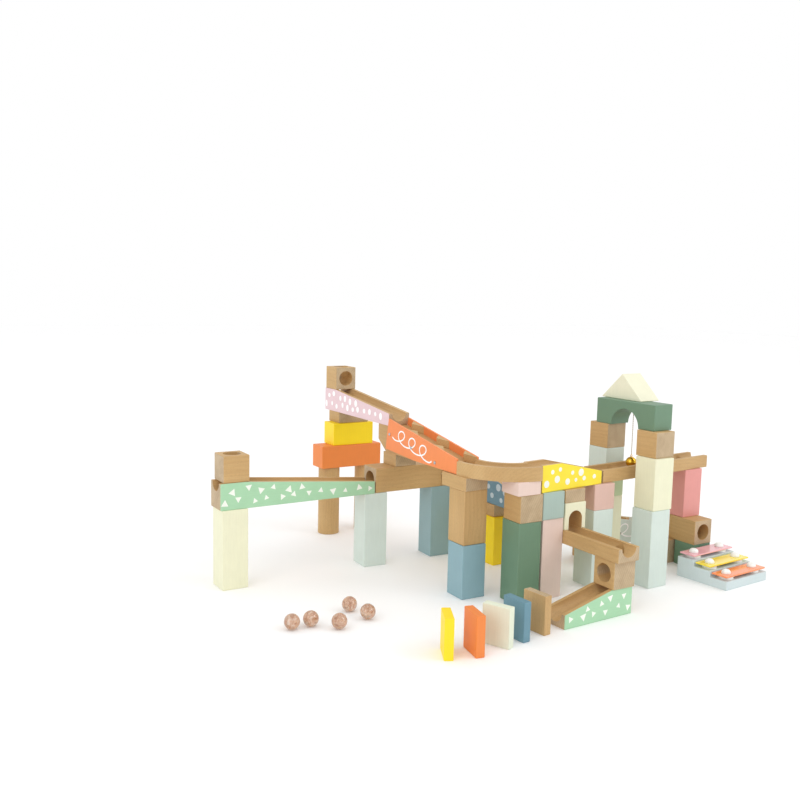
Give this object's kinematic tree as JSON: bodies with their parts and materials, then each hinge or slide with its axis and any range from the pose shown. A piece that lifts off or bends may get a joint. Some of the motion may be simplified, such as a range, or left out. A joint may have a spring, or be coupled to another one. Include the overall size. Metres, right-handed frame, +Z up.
{
  "type": "wooden marble run",
  "caption": "Wooden marble run standing as built: painted pillars and blocks, grooved ramps, curved and stair tracks, bell gate, roof, dominoes, xylophone and glass marbles.",
  "frame": {"origin": "on the floor, under the middle of the arrangement's bounding box", "axes": "+X along the long ramp from its high end to the xylophone, +Y away from the dominoes, +Z up"},
  "size_m": [0.5862, 0.483, 0.2403],
  "materials": {
    "beech": "bare sanded beech",
    "cream_paint": "satin paint on wood",
    "mint_paint": "satin paint on wood",
    "slate_paint": "satin paint on wood",
    "green_paint": "satin paint on wood",
    "pink_paint": "satin paint on wood",
    "rose_paint": "satin paint on wood",
    "yellow_paint": "satin paint on wood",
    "orange_paint": "satin paint on wood",
    "coral_paint": "satin paint on wood",
    "teal_paint": "satin paint on wood",
    "white_paint": "satin paint on wood",
    "leaf_paint": "satin paint on wood",
    "sky_paint": "satin paint on wood",
    "base_paint": "satin paint on wood",
    "bell_brass": "polished",
    "pellet_steel": "satin",
    "string": "twisted thread",
    "screw_steel": "satin",
    "fixing_plastic": "white",
    "bar_pink": "gloss enamel",
    "bar_yellow": "gloss enamel",
    "bar_orange": "gloss enamel",
    "marble_glass": "polished, amber and brown swirl"
  },
  "bodies": {
    "set": {"beech_block": "beech", "beech_cubes": "beech", "beech_slabs": "beech", "bell_track": "beech", "blue_ramp": "sky_paint", "cream_blocks": "cream_paint", "cream_pillars": "cream_paint", "curved_tracks": "beech", "door_arch": "cream_paint", "drop_track": "beech", "elbow_cube": "beech", "gate_arch": "green_paint", "gate_mint_cube": "mint_paint", "green_cubes": "green_paint", "green_pillar": "green_paint", "long_ramp": "leaf_paint", "long_slabs": "beech", "mint_panels": "leaf_paint", "mint_pillars": "mint_paint", "mint_ramp": "leaf_paint", "orange_bar": "bar_orange", "orange_block": "orange_paint", "orange_panels": "coral_paint", "outlet_block": "beech", "pink_bar": "bar_pink", "pink_pillar": "pink_paint", "pink_ramp": "pink_paint", "pink_slab": "pink_paint", "rose_cube": "pink_paint", "round_posts": "beech", "shaft_block": "rose_paint", "slate_pillar": "slate_paint", "stair_baffles": "beech", "stair_cores": "beech", "stair_screws": "screw_steel", "teal_block": "slate_paint", "teal_cube": "teal_paint", "tunnel_block": "beech", "xylophone_base": "base_paint", "xylophone_fixings": "fixing_plastic", "yellow_bar": "bar_yellow", "yellow_block": "yellow_paint", "yellow_pillar": "yellow_paint", "yellow_ramp": "yellow_paint"},
    "bell": {"bell_string": "string", "bell_shell": "bell_brass", "bell_pellet": "pellet_steel"},
    "beech_domino": {"beech_domino": "beech"},
    "blue_domino": {"blue_domino": "sky_paint"},
    "cream_domino": {"cream_domino": "cream_paint"},
    "orange_domino": {"orange_domino": "orange_paint"},
    "yellow_domino": {"yellow_domino": "yellow_paint"},
    "marble_1": {"marble_1": "marble_glass"},
    "marble_2": {"marble_2": "marble_glass"},
    "marble_3": {"marble_3": "marble_glass"},
    "marble_4": {"marble_4": "marble_glass"},
    "marble_5": {"marble_5": "marble_glass"},
    "roof": {"roof": "white_paint"},
    "start_cube": {"start_cube": "beech"},
    "tower_cube": {"tower_cube": "beech"}
  },
  "joints": [
    {"name": "beech_tip", "type": "hinge", "parent": "set", "child": "beech_domino", "pos_m": [-0.06009, -0.22714, 0], "axis": [0.1045, -0.9945, 0], "range_deg": [0, 30.25]},
    {"name": "blue_tip", "type": "hinge", "parent": "set", "child": "blue_domino", "pos_m": [-0.08979, -0.23194, 0], "axis": [0.0872, -0.9962, 0], "range_deg": [0, 20.75]},
    {"name": "cream_tip", "type": "hinge", "parent": "set", "child": "cream_domino", "pos_m": [-0.11199, -0.23824, 0], "axis": [0.4067, -0.9135, 0], "range_deg": [0, 20]},
    {"name": "orange_tip", "type": "hinge", "parent": "set", "child": "orange_domino", "pos_m": [-0.15129, -0.23974, 0], "axis": [-0.2079, -0.9781, 0], "range_deg": [0, 19.75]},
    {"name": "yellow_tip", "type": "hinge", "parent": "set", "child": "yellow_domino", "pos_m": [-0.18039, -0.23044, 0], "axis": [-0.454, -0.891, 0], "range_deg": [0, 90]},
    {"name": "bell_swing", "type": "hinge", "parent": "set", "child": "bell", "pos_m": [0.16189, -0.11428, 0.201], "axis": [-0.0889, 0.996, 0], "range_deg": [-30, 30]},
    {"name": "marble_1_roll", "type": "slide", "parent": "set", "child": "marble_1", "axis": [0, 1, 0], "range_m": [-0.06, 0.06]},
    {"name": "marble_2_roll", "type": "slide", "parent": "set", "child": "marble_2", "axis": [0, 1, 0], "range_m": [-0.06, 0.06]},
    {"name": "marble_3_roll", "type": "slide", "parent": "set", "child": "marble_3", "axis": [0, 1, 0], "range_m": [-0.06, 0.06]},
    {"name": "marble_4_roll", "type": "slide", "parent": "set", "child": "marble_4", "axis": [0, 1, 0], "range_m": [0, 0.06]},
    {"name": "marble_5_roll", "type": "slide", "parent": "set", "child": "marble_5", "axis": [0, 1, 0], "range_m": [-0.06, 0]},
    {"name": "roof_lift", "type": "slide", "parent": "set", "child": "roof", "axis": [0, 0, 1], "range_m": [0, 0.06]},
    {"name": "start_cube_lift", "type": "slide", "parent": "set", "child": "start_cube", "axis": [0, 0, 1], "range_m": [0, 0.06]},
    {"name": "tower_cube_lift", "type": "slide", "parent": "set", "child": "tower_cube", "axis": [0, 0, 1], "range_m": [0, 0.06]}
  ]
}
